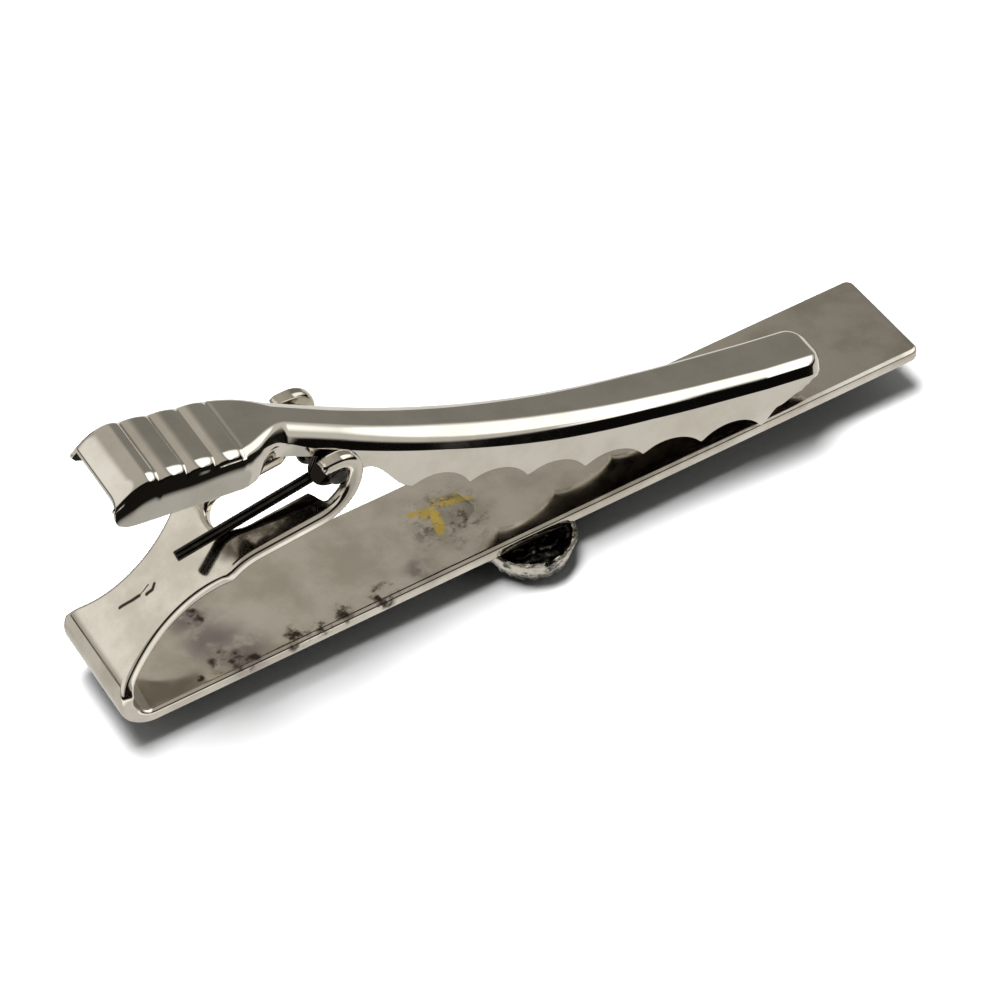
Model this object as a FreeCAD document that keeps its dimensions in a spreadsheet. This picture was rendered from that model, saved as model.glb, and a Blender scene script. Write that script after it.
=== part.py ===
"""A sprung tie clip: a folded plated bar, a toothed clamp lever on a pin, a torsion spring and an ornament.

Millimetres, +Z up. The clip lies on the flat front of its ornament, with the bar level above it. The fold is at
the -X end, the bar's free end at +X, and the origin is under the middle of the bar. The tongue and the lever sit
in a clamp frame: its origin is over the fold, at the height of the bar's back, x runs along the tongue, y along
the hinge pin, and it is turned a little about Z because the fold is slightly askew.
"""
import FreeCAD, Part
import math
import os
from FreeCAD import Placement, Rotation, Vector

SIZES = (
    # Front bar: one strip of plated sheet
    ("bar_length", 60.0),
    ("bar_width", 8.0),
    ("bar_sheet", 1.0),
    ("bar_corner_radius", 0.6),
    ("fold_radius", 2.3),
    ("fold_lap", 3.0),
    ("clamp_yaw", 2.5),
    # Tongue and fork
    ("tongue_slope", 36.0),
    ("arm_slope", 6.5),
    ("crest_radius", 4.0),
    ("arm_radius", 2.5),
    ("waist_up_tongue", 4.2),
    ("waist_width", 4.7),
    ("waist_radius", 9.2),
    ("waist_cut_depth", 1.8),
    ("fork_from_fold", 2.0),
    ("fork_cut_height", 0.4),
    ("fork_turn", 1.85),
    ("fork_width", 7.0),
    ("slot_from_fold", 6.8),
    ("slot_width", 3.5),
    ("slot_shift", 0.5),
    ("pivot_from_fold", 13.8),
    ("hook_opening_reach", 0.7),
    ("hook_width", 0.9),
    ("hook_tail", 0.5),
    ("hook_curl", 30.0),
    # Hinge pin and its fits
    ("pin_diameter", 1.2),
    ("pin_inset", 0.1),
    ("pin_clearance", 0.05),
    # Clamp lever: one pressed channel
    ("lever_sheet", 0.55),
    ("lever_width", 3.9),
    ("shoulder_radius", 1.0),
    ("roof_over_pin", 2.05),
    ("arm_sweep_radius", 72.0),
    ("arm_angle", 30.0),
    ("jaw_angle", 8.0),
    ("jaw_run", 9.4),
    ("nose_length", 1.4),
    ("nose_depth", 1.25),
    ("neck_run", 4.56),
    ("neck_bend_radius", 6.0),
    ("neck_depth", 1.5),
    ("lobe_radius", 1.45),
    ("throat_reach", 2.45),
    # Teeth of the jaw
    ("flange_depth", 4.3),
    ("tooth_height", 1.0),
    ("tooth_pitch", 4.45),
    ("tooth_spaces", 6),
    ("last_tooth_run", 4.5),
    ("scallop_radius", 2.8),
    ("jaw_gap", 0.15),
    # Thumb pad
    ("pad_run", 9.75),
    ("pad_angle", 11.0),
    ("pad_width", 5.3),
    ("pad_depth", 3.1),
    ("pad_notch", 2.2),
    ("pad_corner_radius", 1.0),
    ("pad_taper", 3.7),
    ("first_groove", 2.6),
    ("groove_pitch", 1.9),
    ("groove_count", 4),
    ("groove_radius", 0.5),
    ("groove_depth", 0.2),
    # Torsion spring
    ("wire_diameter", 0.7),
    ("coil_clearance", 0.1),
    ("coil_pitch", 1.26),
    ("coil_extra_turns", 1),
    ("seat_gap", 0.06),
    ("lower_leg_overhang", 3.2),
    ("lower_leg_sway", 0.25),
    ("upper_leg_reach", 7.2),
    # Ornament and its rivet
    ("ornament_depth", 2.0),
    ("ornament_lobes", 4),
    ("lobe_offset", 3.1),
    ("lobe_back_radius", 3.2),
    ("lobe_front_radius", 2.6),
    ("ornament_rim", 0.6),
    ("ornament_wall", 0.8),
    ("rivet_from_middle", -3.7),
    ("rivet_off_axis", 0.4),
    ("rivet_diameter", 1.5),
    ("rivet_clearance", 0.05),
    ("rivet_head_diameter", 3.0),
    ("rivet_head_height", 0.15),
    # How far a cutting shape runs past what it cuts
    ("overrun", 2.0),
)

doc = FreeCAD.newDocument("tie_clip")
sheet = doc.addObject("Spreadsheet::Sheet", "sizes")
for row, (alias, value) in enumerate(SIZES, start=1):
    sheet.set(f"A{row}", alias)
    sheet.set(f"B{row}", str(value))
    sheet.setAlias(f"B{row}", alias)
doc.recompute()


def size(alias):
    """The number that the sheet holds under this alias."""
    return float(sheet.get(alias))


def bind(item, **expressions):
    """Ties properties of a document object to cells of the sheet; a double underscore stands for a dot."""
    for name, text in expressions.items():
        item.setExpression(name.replace("__", "."), text)
    return item


def direction(degrees):
    """Unit vector in the XZ plane, turned up from +X."""
    angle = math.radians(degrees)
    return Vector(math.cos(angle), 0, math.sin(angle))


def turn_shift(radius, start, end):
    """Displacement along an arc of this radius while the heading goes from start to end degrees."""
    side = 1 if end > start else -1
    return (direction(end - 90) - direction(start - 90)) * (radius * side)


def trace(point, heading, steps):
    """Edges of a path in the XZ plane. A step is (length,) for a run or (radius, degrees) for a turn, left positive."""
    edges = []
    for step in steps:
        if len(step) == 1:
            end = point + direction(heading) * step[0]
            edges.append(Part.LineSegment(point, end).toShape())
        else:
            radius, degrees = step
            middle = point + turn_shift(radius, heading, heading + degrees / 2)
            end = point + turn_shift(radius, heading, heading + degrees)
            edges.append(Part.Arc(point, middle, end).toShape())
            heading += degrees
        point = end
    return edges, point


def polyline(points):
    """Straight edges through the points in turn."""
    return [Part.LineSegment(a, b).toShape() for a, b in zip(points, points[1:])]


def face_of(name, edges):
    """A flat outline, closed with a straight edge where it is open."""
    wire = Part.Wire(Part.__sortEdges__(edges))
    outline = doc.addObject("Part::Feature", name)
    outline.Shape = Part.Face(wire)
    return outline


def extrude(name, outline, along, length):
    """A solid that runs the same way to both sides of a flat outline."""
    solid = doc.addObject("Part::Extrusion", name)
    solid.Base = outline
    solid.DirMode = "Custom"
    solid.Dir = along
    solid.Solid = True
    solid.Symmetric = True
    return bind(solid, LengthFwd=length)


def crosswise_cylinder(name, place, radius, length):
    """A cylinder along the hinge's direction, centred on the clamp's middle plane."""
    rod = doc.addObject("Part::Cylinder", name)
    bind(rod, Radius=radius, Height=length)
    doc.recompute()
    half = Vector(0, rod.Height.Value / 2, 0)
    rod.Placement = Placement(place - half, Rotation(Vector(1, 0, 0), -90))
    return rod


def combine(kind, name, shapes):
    """A union or an overlap of several objects."""
    result = doc.addObject(kind, name)
    result.Shapes = shapes
    return result


def cut(name, base, tool):
    """What is left of base where tool is taken away."""
    result = doc.addObject("Part::Cut", name)
    result.Base = base
    result.Tool = tool
    return result


bar_back = size("ornament_depth") + size("bar_sheet")
# The askew fold's far corner is the end of the bar.
fold_lean = size("bar_width") / 2 * math.tan(math.radians(size("clamp_yaw")))
fold_centre_x = -size("bar_length") / 2 + size("fold_radius") + fold_lean
clamp = Placement(Vector(fold_centre_x, 0, bar_back), Rotation(Vector(0, 0, 1), -size("clamp_yaw")))
middle_plane_width = size("bar_width") + size("overrun")

# Lines of the lever, in the clamp frame.
# The roof's sweep is an arc from the arm's angle over the pin to the jaw's angle. Its lowest tooth stands a small
# gap above the bar's back, which sets the height of the pin.
arm_normal = direction(90 - size("arm_angle"))
jaw_normal = direction(90 - size("jaw_angle"))
jaw_heading = direction(-size("jaw_angle"))
pad_normal = direction(90 - size("pad_angle"))
pad_heading = direction(180 - size("pad_angle"))
neck_heading = direction(180 - size("arm_angle"))
sweep_from_pin = arm_normal * (size("roof_over_pin") + size("arm_sweep_radius"))


def under_sweep(normal, depth):
    """Point at a depth under the roof's arc, seen from the pin."""
    return sweep_from_pin - normal * (size("arm_sweep_radius") + depth)


tip_depth = size("flange_depth")
jaw_start_low = under_sweep(jaw_normal, tip_depth)
last_tooth_low = jaw_start_low + jaw_heading * size("last_tooth_run")
pin_centre = Vector(size("pivot_from_fold"), 0, size("jaw_gap") - last_tooth_low.z)
neck_start = pin_centre + arm_normal * size("roof_over_pin") + neck_heading * size("neck_run")
neck_turn = size("arm_angle") - size("pad_angle")
neck_end = neck_start + turn_shift(size("neck_bend_radius"), 180 - size("arm_angle"), 180 - size("pad_angle"))
pad_tip = neck_end + pad_heading * size("pad_run")
jaw_start = pin_centre + under_sweep(jaw_normal, 0)
nose_tip = jaw_start + jaw_heading * size("jaw_run")


def jaw_point(back_from_last, depth):
    """Point under the roof, at a distance back from the last tooth along the line of the teeth."""
    along_straight = size("last_tooth_run") - back_from_last
    if along_straight >= 0:
        return pin_centre + under_sweep(jaw_normal, depth) + jaw_heading * along_straight
    angle = size("jaw_angle") + math.degrees(-along_straight / (size("arm_sweep_radius") + tip_depth))
    return pin_centre + under_sweep(direction(90 - angle), depth)


# Front bar.
# A flat bar whose end folds back into a tongue. The tongue climbs, levels out over a crest, and its two fork arms
# curl up and over the hinge pin.
plate = bind(doc.addObject("Part::Box", "bar_plate"), Length="sizes.bar_length - sizes.fold_radius",
             Width="sizes.bar_width", Height="sizes.bar_sheet")
bind(plate, Placement__Base__x="sizes.fold_radius - sizes.bar_length / 2",
     Placement__Base__y="-sizes.bar_width / 2", Placement__Base__z="sizes.ornament_depth")
doc.recompute()
rounded_plate = doc.addObject("Part::Fillet", "bar_plate_rounded")
rounded_plate.Base = plate
rounded_plate.Edges = [
    (number, size("bar_corner_radius"), size("bar_corner_radius"))
    for number, edge in enumerate(plate.Shape.Edges, start=1)
    if edge.BoundBox.XMin > 0 and edge.BoundBox.ZLength > edge.BoundBox.YLength
]

hook_radius = size("pin_diameter") / 2 + size("pin_clearance")
fold_turn = size("tongue_slope") - 180
crest_turn = size("arm_slope") - size("tongue_slope")
fold_end = Vector(0, 0, -size("bar_sheet")) + turn_shift(size("fold_radius"), 180, size("tongue_slope"))
curl_end = pin_centre + Vector(hook_radius, 0, 0)
curl_start = curl_end - turn_shift(size("arm_radius"), size("arm_slope"), 90)
crest_shift = turn_shift(size("crest_radius"), size("tongue_slope"), size("arm_slope"))
# The climb and the arm are as long as it takes to join the fold to the curl.
gap = curl_start - fold_end - crest_shift
climb_way = direction(size("tongue_slope"))
arm_way = direction(size("arm_slope"))
spread = climb_way.x * arm_way.z - climb_way.z * arm_way.x
climb_run = (gap.x * arm_way.z - gap.z * arm_way.x) / spread
arm_run = (climb_way.x * gap.z - climb_way.z * gap.x) / spread


def strip_side(other_face):
    """Edges along one face of the folded strip; the other face lies one sheet to the right of the way."""
    sheet_step = size("bar_sheet") if other_face else 0
    start = Vector(size("fold_lap"), 0, sheet_step - size("bar_sheet"))
    return trace(start, 180, [
        (size("fold_lap"),),
        (size("fold_radius") - sheet_step, fold_turn),
        (climb_run,),
        (size("crest_radius") - sheet_step, crest_turn),
        (arm_run,),
        (size("arm_radius") + sheet_step, 90 - size("arm_slope")),
        (hook_radius + sheet_step, 90),
        (size("hook_tail"),),
        (hook_radius + sheet_step, size("hook_curl")),
    ])


front_face, front_end = strip_side(False)
rear_face, rear_end = strip_side(True)
strip_start = polyline([Vector(size("fold_lap"), 0, -size("bar_sheet")), Vector(size("fold_lap"), 0, 0)])
strip_end = polyline([front_end, rear_end])
strip = extrude("folded_strip", face_of("strip_outline", front_face + rear_face + strip_start + strip_end),
                Vector(0, 1, 0), "sizes.bar_width + sizes.overrun")

tongue_normal = direction(90 + size("tongue_slope"))
waist_middle = fold_end + climb_way * size("waist_up_tongue")
tongue_cuts = []
for side in (-1, 1):
    waist = bind(doc.addObject("Part::Cylinder", "waist"), Radius="sizes.waist_radius",
                 Height="sizes.waist_cut_depth + sizes.overrun")
    across = Vector(0, side * (size("waist_width") / 2 + size("waist_radius")), 0)
    waist.Placement = Placement(waist_middle - tongue_normal * size("waist_cut_depth") + across,
                                Rotation(Vector(0, 0, 1), tongue_normal))
    trim = bind(doc.addObject("Part::Box", "fork_trim"), Width="sizes.bar_width",
                Length="sizes.pivot_from_fold + sizes.overrun", Height="sizes.pivot_from_fold + sizes.overrun")
    bind(trim, Placement__Base__x="sizes.fork_from_fold", Placement__Base__z="sizes.fork_cut_height",
         Placement__Base__y=f"{side} * (sizes.fork_width + sizes.bar_width) / 2 - sizes.bar_width / 2")
    tongue_cuts += [waist, trim]

slot_height = "sizes.pivot_from_fold + sizes.overrun"
slot_end = bind(doc.addObject("Part::Cylinder", "slot_end"), Radius="sizes.slot_width / 2", Height=slot_height)
bind(slot_end, Placement__Base__x="sizes.slot_from_fold + sizes.slot_width / 2",
     Placement__Base__y="sizes.slot_shift", Placement__Base__z="sizes.fork_cut_height")
slot = bind(doc.addObject("Part::Box", "slot"), Length=slot_height, Width="sizes.slot_width", Height=slot_height)
bind(slot, Placement__Base__x="sizes.slot_from_fold + sizes.slot_width / 2",
     Placement__Base__y="sizes.slot_shift - sizes.slot_width / 2", Placement__Base__z="sizes.fork_cut_height")
hook_opening = bind(doc.addObject("Part::Box", "hook_opening"), Length=slot_height, Height=slot_height,
                    Width="sizes.fork_width - 2 * sizes.hook_width")
bind(hook_opening, Placement__Base__x="sizes.pivot_from_fold - sizes.hook_opening_reach",
     Placement__Base__y="sizes.hook_width - sizes.fork_width / 2",
     Placement__Base__z="sizes.fork_cut_height")
tail_opening = bind(doc.addObject("Part::Box", "tail_opening"), Length=slot_height, Height=slot_height,
                    Width="sizes.fork_width - 2 * sizes.hook_width")
bind(tail_opening, Placement__Base__x="sizes.slot_from_fold", Placement__Base__y="sizes.hook_width - sizes.fork_width / 2")
tail_opening.Placement.Base.z = pin_centre.z - size("lobe_radius")
tongue_cuts += [slot_end, slot, hook_opening, tail_opening]
fork_form = combine("Part::MultiFuse", "tongue_cuts", tongue_cuts)
fork_form.Placement = Placement(Vector(), Rotation(Vector(0, 0, 1), size("fork_turn")))
tongue = cut("tongue", strip, fork_form)
tongue.Placement = clamp

bar_limits = bind(doc.addObject("Part::Box", "bar_limits"), Length="sizes.bar_length", Width="sizes.bar_width",
                  Height="sizes.bar_length")
bind(bar_limits, Placement__Base__x="-sizes.bar_length / 2 - sizes.overrun",
     Placement__Base__y="-sizes.bar_width / 2")
trimmed_tongue = combine("Part::MultiCommon", "tongue_in_bar_width", [tongue, bar_limits])
whole_bar = combine("Part::MultiFuse", "bar_and_tongue", [rounded_plate, trimmed_tongue])
rivet_hole = bind(doc.addObject("Part::Cylinder", "rivet_hole"), Height="sizes.bar_sheet + 2 * sizes.overrun",
                  Radius="sizes.rivet_diameter / 2 + sizes.rivet_clearance")
bind(rivet_hole, Placement__Base__x="sizes.rivet_from_middle", Placement__Base__y="sizes.rivet_off_axis",
     Placement__Base__z="sizes.ornament_depth - sizes.overrun")
front_bar = cut("front_bar", whole_bar, rivet_hole)

# Hinge pin.
# A plain pin through both flanges of the lever, held under the two hooks.
hinge_pin = crosswise_cylinder("hinge_pin", Vector(), "sizes.pin_diameter / 2",
                               "sizes.fork_width - 2 * sizes.pin_inset")
fork_offset = Vector(0, pin_centre.x * math.tan(math.radians(size("fork_turn"))), 0)
hinge_pin.Placement = clamp.multiply(Placement(pin_centre + fork_offset, Rotation())).multiply(hinge_pin.Placement)


# Clamp lever.
# A pressed channel: its outer form less the same form one sheet smaller, which is open below and at the pad's end.
def lever_roof(inset, tip_overrun, nose_overrun):
    """Edges of the roof from the pad's tip to the nose, and their two ends."""
    start = pad_tip - pad_normal * inset + pad_heading * tip_overrun
    sweep = size("arm_sweep_radius") + inset
    edges, end = trace(start, -size("pad_angle"), [
        (size("pad_run") + tip_overrun,),
        (size("neck_bend_radius") - inset, -neck_turn),
        (size("neck_run"),),
        (sweep, size("arm_angle") - size("jaw_angle")),
        (size("jaw_run") + nose_overrun,),
    ])
    return edges, start, end


def lever_plan(name, inset, tip_overrun):
    """Seen from above: the pad, its taper to the narrower arm, and the rounded nose."""
    pad_half = size("pad_width") / 2 - inset
    arm_half = size("lever_width") / 2 - inset
    taper_angle = 2 * math.degrees(math.atan2(pad_half - arm_half, size("pad_taper")))
    taper_radius = size("pad_taper") / 2 / math.sin(math.radians(taper_angle))
    taper_start = neck_end.x - size("pad_notch")
    nose_shoulder = nose_tip.x - size("nose_length")
    far_tip = Vector(pad_tip.x - tip_overrun, 0, pad_half)
    pad_length = taper_start - far_tip.x
    arm_length = nose_shoulder - taper_start - size("pad_taper")
    edges, far_nose = trace(far_tip, 0, [
        (pad_length,), (taper_radius, -taper_angle), (taper_radius, taper_angle), (arm_length,)])
    near = [edge.mirror(Vector(), Vector(0, 0, 1)) for edge in edges]
    near_nose = Vector(far_nose.x, 0, -far_nose.z)
    nose = Part.Arc(far_nose, Vector(nose_tip.x - inset, 0, 0), near_nose).toShape()
    tip = polyline([far_tip, Vector(far_tip.x, 0, -pad_half)])
    outline = face_of(name, edges + near + [nose] + tip)
    outline.Placement = Placement(Vector(), Rotation(Vector(1, 0, 0), 90))
    return outline


def shouldered(name, side_outline, plan_outline, radius, roof_edges):
    """Side view crossed with plan view, with the roof's long edges and nose rounded over."""
    side = extrude(name + "_side", side_outline, Vector(0, 1, 0), "sizes.pad_width + sizes.overrun")
    plan = extrude(name + "_plan", plan_outline, Vector(0, 0, 1), "sizes.bar_length")
    block = combine("Part::MultiCommon", name + "_block", [side, plan])
    doc.recompute()
    roof = Part.Wire(roof_edges)
    rounded = []
    for number, edge in enumerate(block.Shape.Edges, start=1):
        middle = edge.valueAt((edge.FirstParameter + edge.LastParameter) / 2)
        on_roof = roof.distToShape(Part.Vertex(Vector(middle.x, 0, middle.z)))[0] < Part.Precision.confusion() * 10
        crosses = edge.BoundBox.XLength + edge.BoundBox.ZLength < Part.Precision.confusion() * 10
        if on_roof and not crosses:
            rounded.append((number, radius, radius))
    result = doc.addObject("Part::Fillet", name)
    result.Base = block
    result.Edges = rounded
    return result


outer_roof, outer_tip, outer_nose = lever_roof(0, 0, size("overrun"))
first_tooth = jaw_point(size("tooth_spaces") * size("tooth_pitch"), tip_depth)
sweep_middle = jaw_point((size("tooth_spaces") * size("tooth_pitch") + size("last_tooth_run")) / 2, tip_depth)
jaw_low = pin_centre + jaw_start_low
under_pin = pin_centre - Vector(0, 0, size("lobe_radius"))
corner = size("pad_corner_radius")
pad_low = pad_tip - pad_normal * size("pad_depth")
corner_start = pad_low + pad_normal * corner
corner_end = pad_low - pad_heading * corner
corner_middle = corner_start - pad_heading * corner + (pad_heading - pad_normal).normalize() * corner
outer_edges = outer_roof + polyline([
    outer_nose, outer_nose - jaw_normal * size("nose_depth"), pin_centre + last_tooth_low, jaw_low])
outer_edges.append(Part.Arc(jaw_low, sweep_middle, first_tooth).toShape())
outer_edges += polyline([
    first_tooth, under_pin + Vector(size("throat_reach"), 0, 0), under_pin, pin_centre,
    pin_centre + arm_normal * (size("roof_over_pin") - size("neck_depth")),
    neck_start - arm_normal * size("neck_depth"), neck_end - pad_normal * size("neck_depth"),
    neck_end + pad_heading * size("pad_notch") - pad_normal * size("pad_depth"),
    corner_end])
outer_edges.append(Part.Arc(corner_end, corner_middle, corner_start).toShape())
outer_edges += polyline([corner_start, outer_tip])
lever_outside = shouldered("lever_outside", face_of("lever_side", outer_edges),
                           lever_plan("lever_plan", 0, 0), size("shoulder_radius"), outer_roof)

inner_roof, inner_tip, inner_nose = lever_roof(size("lever_sheet"), size("overrun"), size("overrun"))
below = Vector(0, 0, -size("overrun"))
inner_edges = inner_roof + polyline([
    inner_nose, Vector(inner_nose.x, 0, below.z), Vector(inner_tip.x, 0, below.z), inner_tip])
lever_inside = shouldered("lever_inside", face_of("channel_side", inner_edges),
                          lever_plan("channel_plan", size("lever_sheet"), size("overrun")),
                          size("shoulder_radius") - size("lever_sheet"), inner_roof)

lobes = crosswise_cylinder("pin_lobes", pin_centre, "sizes.lobe_radius", "sizes.lever_width")
lever_form = combine("Part::MultiFuse", "lever_form", [lever_outside, lobes])
lever_cuts = [lever_inside]
lever_cuts.append(crosswise_cylinder("pin_holes", pin_centre, "sizes.pin_diameter / 2 + sizes.pin_clearance",
                                     "sizes.bar_width"))
for space in range(int(size("tooth_spaces"))):
    scallop_depth = tip_depth - size("tooth_height") + size("scallop_radius")
    centre = jaw_point((space + 1 / 2) * size("tooth_pitch"), scallop_depth)
    lever_cuts.append(crosswise_cylinder("scallop", centre, "sizes.scallop_radius", "sizes.bar_width"))
for groove in range(int(size("groove_count"))):
    along_pad = size("pad_run") - size("first_groove") - groove * size("groove_pitch")
    lift = size("groove_radius") - size("groove_depth")
    centre = neck_end + pad_heading * along_pad + pad_normal * lift
    lever_cuts.append(crosswise_cylinder("groove", centre, "sizes.groove_radius", "sizes.bar_width"))
clamp_lever = cut("clamp_lever", lever_form, combine("Part::MultiFuse", "lever_cuts", lever_cuts))
clamp_lever.Placement = clamp

# Torsion spring.
# One wire: a leg that bears on the tongue's crest, a coil about the pin, and a leg that bears under the pad.
wire_radius = size("wire_diameter") / 2
coil_radius = size("pin_diameter") / 2 + size("coil_clearance") + wire_radius
crest = fold_end + climb_way * climb_run + turn_shift(
    size("crest_radius"), size("tongue_slope"), size("tongue_slope") + crest_turn / 2)
crest_normal = direction(90 + size("tongue_slope") + crest_turn / 2)
lower_seat = crest + crest_normal * (wire_radius + size("seat_gap"))
upper_seat = neck_end + pad_heading * size("upper_leg_reach") - pad_normal * (
    size("lever_sheet") + size("seat_gap") + wire_radius)


def heading_of(vector):
    """Degrees from +X in the XZ plane."""
    return math.degrees(math.atan2(vector.z, vector.x))


to_pin = pin_centre - lower_seat
lower_heading = heading_of(to_pin) - math.degrees(math.asin(coil_radius / to_pin.Length))
to_pad = upper_seat - pin_centre
upper_heading = heading_of(to_pad) + math.degrees(math.asin(coil_radius / to_pad.Length))
coil_start = lower_heading - 90
coil_sweep = (upper_heading - lower_heading) % 360 + 360 * size("coil_extra_turns")
coil_travel = size("coil_pitch") * coil_sweep / 360


def coil_point(share):
    """Point of the coil's centre line, from 0 at the lower leg to 1 at the upper leg."""
    across = Vector(0, coil_travel * (share - 1 / 2), 0)
    return pin_centre + direction(coil_start + coil_sweep * share) * coil_radius + across


def coil_tangent(share):
    """Unit vector along the coil's centre line."""
    along = direction(coil_start + coil_sweep * share + 90) * (coil_radius * math.radians(coil_sweep))
    return (along + Vector(0, coil_travel, 0)).normalize()


def arc_between(start, apex, end):
    """Arc that touches the lines from start and end to their common apex."""
    middle = (start + end) * (1 / 2)
    half_chord = (end - start).Length / 2
    rise = half_chord * math.tan(math.atan2((apex - middle).Length, half_chord) / 2)
    return Part.Arc(start, middle + (apex - middle).normalize() * rise, end).toShape()


def biarc(start, start_way, end, end_way):
    """Two arcs from start to end that leave and arrive along the given unit vectors."""
    span = end - start
    ways = start_way + end_way
    square = 2 * (1 - start_way.dot(end_way))
    reach = (math.sqrt(span.dot(ways) ** 2 + square * span.dot(span)) - span.dot(ways)) / square
    joint = (start + end + (start_way - end_way) * reach) * (1 / 2)
    return [arc_between(start, start + start_way * reach, joint), arc_between(joint, end - end_way * reach, end)]


lower_run = (coil_point(0) - lower_seat).dot(direction(lower_heading)) + size("lower_leg_overhang")
lower_tip = coil_point(0) - direction(lower_heading) * lower_run + Vector(0, size("lower_leg_sway"), 0)
upper_run = (upper_seat - coil_point(1)).dot(direction(upper_heading))
upper_tip = coil_point(1) + direction(upper_heading) * upper_run
quarters = math.ceil(coil_sweep / 90)
stations = [coil_point(step / quarters) for step in range(quarters + 1)]
ways = [coil_tangent(step / quarters) for step in range(quarters + 1)]
ways[0] = (stations[0] - lower_tip).normalize()
ways[-1] = (upper_tip - stations[-1]).normalize()
spring_edges = [Part.LineSegment(lower_tip, stations[0]).toShape()]
for step in range(quarters):
    spring_edges += biarc(stations[step], ways[step], stations[step + 1], ways[step + 1])
spring_edges.append(Part.LineSegment(stations[-1], upper_tip).toShape())
spring_path = Part.Wire(spring_edges)
wire_section = Part.Wire(Part.Circle(lower_tip, ways[0], wire_radius).toShape())
torsion_spring = doc.addObject("Part::Feature", "torsion_spring")
torsion_spring.Shape = spring_path.makePipeShell([wire_section], True, False)
torsion_spring.Placement = clamp

path_points = spring_path.discretize(Distance=wire_radius / 4)
apart = int(math.pi * coil_radius / (wire_radius / 4))
self_gap = min((one - other).Length for index, one in enumerate(path_points)
               for other in path_points[index + apart:]) - size("wire_diameter")
print(f"spring: least gap to itself {self_gap:.2f} mm, coil radius {coil_radius:.2f} mm, "
      f"volume {torsion_spring.Shape.Volume:.2f}, section times length "
      f"{math.pi * wire_radius ** 2 * spring_path.Length:.2f}")

# Ornament.
# A small cast rosette with sloping sides, hollow at the back, whose flat front the clip rests on.
outer_lobes = []
inner_lobes = []
for lobe in range(int(size("ornament_lobes"))):
    way = Rotation(Vector(0, 0, 1), 360 * lobe / size("ornament_lobes")).multVec(Vector(size("lobe_offset"), 0, 0))
    petal = bind(doc.addObject("Part::Cone", "petal"), Radius1="sizes.lobe_front_radius",
                 Radius2="sizes.lobe_back_radius", Height="sizes.ornament_depth")
    petal.Placement = Placement(way, Rotation())
    hollow = bind(doc.addObject("Part::Cylinder", "petal_hollow"), Height="sizes.ornament_depth",
                  Radius="sizes.lobe_back_radius - sizes.ornament_rim")
    hollow.Placement = Placement(way + Vector(0, 0, size("ornament_wall")), Rotation())
    outer_lobes.append(petal)
    inner_lobes.append(hollow)
core = bind(doc.addObject("Part::Cylinder", "ornament_core"), Radius="sizes.lobe_offset",
            Height="sizes.ornament_depth")
core_hollow = bind(doc.addObject("Part::Cylinder", "core_hollow"), Height="sizes.ornament_depth",
                   Radius="sizes.lobe_offset")
bind(core_hollow, Placement__Base__z="sizes.ornament_wall")
ornament = cut("ornament", combine("Part::MultiFuse", "rosette", outer_lobes + [core]),
               combine("Part::MultiFuse", "rosette_hollow", inner_lobes + [core_hollow]))

# Ornament rivet.
# The ornament's brass stud: it stands on the floor of the hollow, passes through the bar and is flattened on its back.
shank = bind(doc.addObject("Part::Cylinder", "rivet_shank"), Radius="sizes.rivet_diameter / 2",
             Height="sizes.ornament_depth + sizes.bar_sheet - sizes.ornament_wall + sizes.rivet_head_height")
bind(shank, Placement__Base__x="sizes.rivet_from_middle", Placement__Base__y="sizes.rivet_off_axis",
     Placement__Base__z="sizes.ornament_wall")
head = bind(doc.addObject("Part::Cylinder", "rivet_head"), Radius="sizes.rivet_head_diameter / 2",
            Height="sizes.rivet_head_height")
bind(head, Placement__Base__x="sizes.rivet_from_middle", Placement__Base__y="sizes.rivet_off_axis",
     Placement__Base__z="sizes.ornament_depth + sizes.bar_sheet")
ornament_rivet = combine("Part::MultiFuse", "ornament_rivet", [shank, head])

doc.recompute()
for item in doc.Objects:
    if "Invalid" in item.State or "Error" in item.State:
        raise RuntimeError(f"{item.Name} failed: {item.State}")

pieces = {
    "front_bar": front_bar,
    "clamp_lever": clamp_lever,
    "hinge_pin": hinge_pin,
    "torsion_spring": torsion_spring,
    "ornament": ornament,
    "ornament_rivet": ornament_rivet,
}
for node, piece in pieces.items():
    piece.Label = node
    if piece.Shape.isNull() or not piece.Shape.isValid() or len(piece.Shape.Solids) != 1:
        raise RuntimeError(f"{node}: the shape is not one valid solid")

os.makedirs("parts", exist_ok=True)
for node, piece in pieces.items():
    piece.Shape.exportStep(f"parts/{node}.step")
    box = piece.Shape.BoundBox
    print(f"{node}: volume {piece.Shape.Volume:.2f}, x {box.XMin:.2f} to {box.XMax:.2f}, "
          f"y {box.YMin:.2f} to {box.YMax:.2f}, z {box.ZMin:.2f} to {box.ZMax:.2f}")
hinge = clamp.multVec(pin_centre)
hinge_way = clamp.Rotation.multVec(Vector(0, -1, 0))
print(f"hinge at {hinge.x:.4f}, {hinge.y:.4f}, {hinge.z:.4f} along {hinge_way.x:.5f}, {hinge_way.y:.5f}, 0")
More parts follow.
